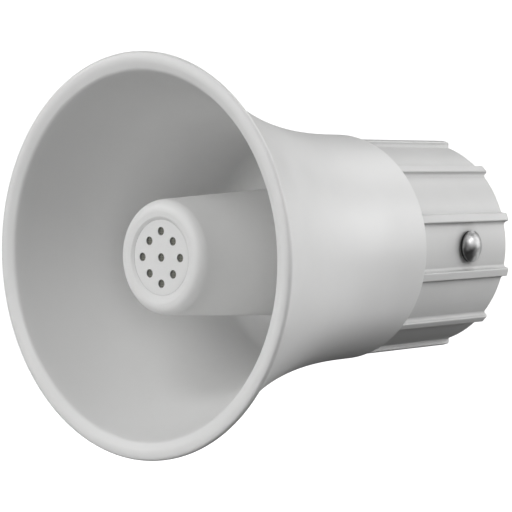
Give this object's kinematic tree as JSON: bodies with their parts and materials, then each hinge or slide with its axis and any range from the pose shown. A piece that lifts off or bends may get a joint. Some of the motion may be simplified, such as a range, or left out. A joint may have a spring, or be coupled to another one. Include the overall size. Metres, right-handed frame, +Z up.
{
  "type": "horn loudspeaker",
  "caption": "Flared reflex horn loudspeaker in grey moulded plastic, with a perforated centre nose, a ribbed rear cover and side bolts for a bracket.",
  "frame": {"origin": "on the horn's axis, in the plane of the two side bolts that hold it in a bracket", "axes": "+Y along the horn's axis from the mouth to the rear cover, +Z up, +X towards the right side bolt; the mouth faces -Y"},
  "size_m": [0.21, 0.2506, 0.21],
  "materials": {
    "grey_plastic": "satin moulded",
    "cover_plastic": "satin moulded, a little darker",
    "black_plastic": "fine moulded grain",
    "zinc_steel": "zinc plated",
    "stainless": "plain stainless",
    "polished_steel": "polished",
    "rubber": "moulded rubber",
    "mesh": "fine woven mesh",
    "diaphragm": "phenolic film",
    "copper": "enamelled wire",
    "ferrite": "sintered",
    "laminations": "stacked steel sheet",
    "winding_tape": "taped copper winding",
    "laminate": "paper laminate",
    "lead_sleeve": "insulated wire"
  },
  "bodies": {
    "housing": {"bell": "grey_plastic", "rear_cover": "cover_plastic", "nose_cup": "grey_plastic", "nose_face": "grey_plastic", "nose_mesh": "mesh", "nose_spider": "grey_plastic", "throat_tube": "grey_plastic", "nose_screws": "zinc_steel", "cover_seal": "rubber", "phase_plug": "black_plastic", "driver_housing": "black_plastic", "surround": "diaphragm", "top_plate": "zinc_steel", "magnet": "ferrite", "yoke": "zinc_steel", "driver_screws": "zinc_steel", "terminal_strip": "laminate", "speaker_leads": "lead_sleeve", "cover_screws": "stainless", "transformer_core": "laminations", "transformer_winding": "winding_tape", "transformer_bracket": "zinc_steel", "transformer_screws": "zinc_steel", "selector_body": "black_plastic", "selector_gasket": "rubber", "selector_nut": "zinc_steel", "gland_body": "black_plastic", "gland_seal": "rubber", "gland_locknut": "black_plastic", "side_washer_left": "rubber", "side_nut_left": "zinc_steel", "side_washer_right": "rubber", "side_nut_right": "zinc_steel"},
    "diaphragm": {"diaphragm": "diaphragm", "voice_coil": "copper"},
    "selector_knob": {"selector_knob": "black_plastic"},
    "gland_nut": {"gland_nut": "black_plastic"},
    "side_bolt_left": {"side_bolt_left": "polished_steel"},
    "side_bolt_right": {"side_bolt_right": "polished_steel"}
  },
  "joints": [
    {"name": "diaphragm_travel", "type": "slide", "parent": "housing", "child": "diaphragm", "axis": [0, 1, 0], "range_m": [-0.0004, 0.0004], "stiffness_N_per_m": 3000},
    {"name": "selector_turn", "type": "hinge", "parent": "housing", "child": "selector_knob", "pos_m": [0, 0.018, 0.038], "axis": [0, 1, 0], "range_deg": [-60, 60]},
    {"name": "gland_nut_turn", "type": "hinge", "parent": "housing", "child": "gland_nut", "pos_m": [0, 0.026, -0.038], "axis": [0, 1, 0], "range_deg": [0, 540]},
    {"name": "side_bolt_left_slide", "type": "slide", "parent": "housing", "child": "side_bolt_left", "axis": [-1, 0, 0], "range_m": [0, 0.004]},
    {"name": "side_bolt_right_slide", "type": "slide", "parent": "housing", "child": "side_bolt_right", "axis": [1, 0, 0], "range_m": [0, 0.004]}
  ]
}
